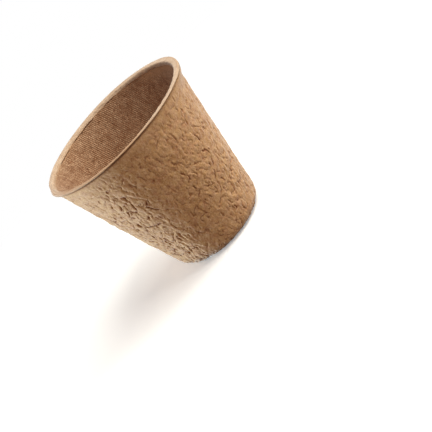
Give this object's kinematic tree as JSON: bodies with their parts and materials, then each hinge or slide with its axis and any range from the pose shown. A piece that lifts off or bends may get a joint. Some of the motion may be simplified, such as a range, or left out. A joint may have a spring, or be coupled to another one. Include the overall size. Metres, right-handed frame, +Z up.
{
  "type": "peat pot",
  "caption": "Small round tapered plant pot of pressed peat and wood fibre, with a turned-out lip, a rounded foot and a drain hole in its raised floor.",
  "frame": {"origin": "middle of the foot ring, on the ground that the pot stands on", "axes": "+Z up along the pot's axis, from the floor to the mouth; the pot is round, so +X and +Y are free"},
  "size_m": [0.066, 0.066, 0.059],
  "materials": {
    "pressed_rim_fibre": "pressed moulded fibre, matt, pale tan, smoother and lighter than the wall",
    "moulded_wall_fibre": "moulded peat and wood fibre, matt, warm tan, finely creased outside and screen-marked inside",
    "moulded_base_fibre": "moulded peat and wood fibre, matt, tan, rough underneath"
  },
  "bodies": {
    "root": {"rim_lip": "pressed_rim_fibre", "side_wall": "moulded_wall_fibre", "base_heel": "moulded_base_fibre", "base_floor": "moulded_base_fibre"}
  },
  "joints": []
}
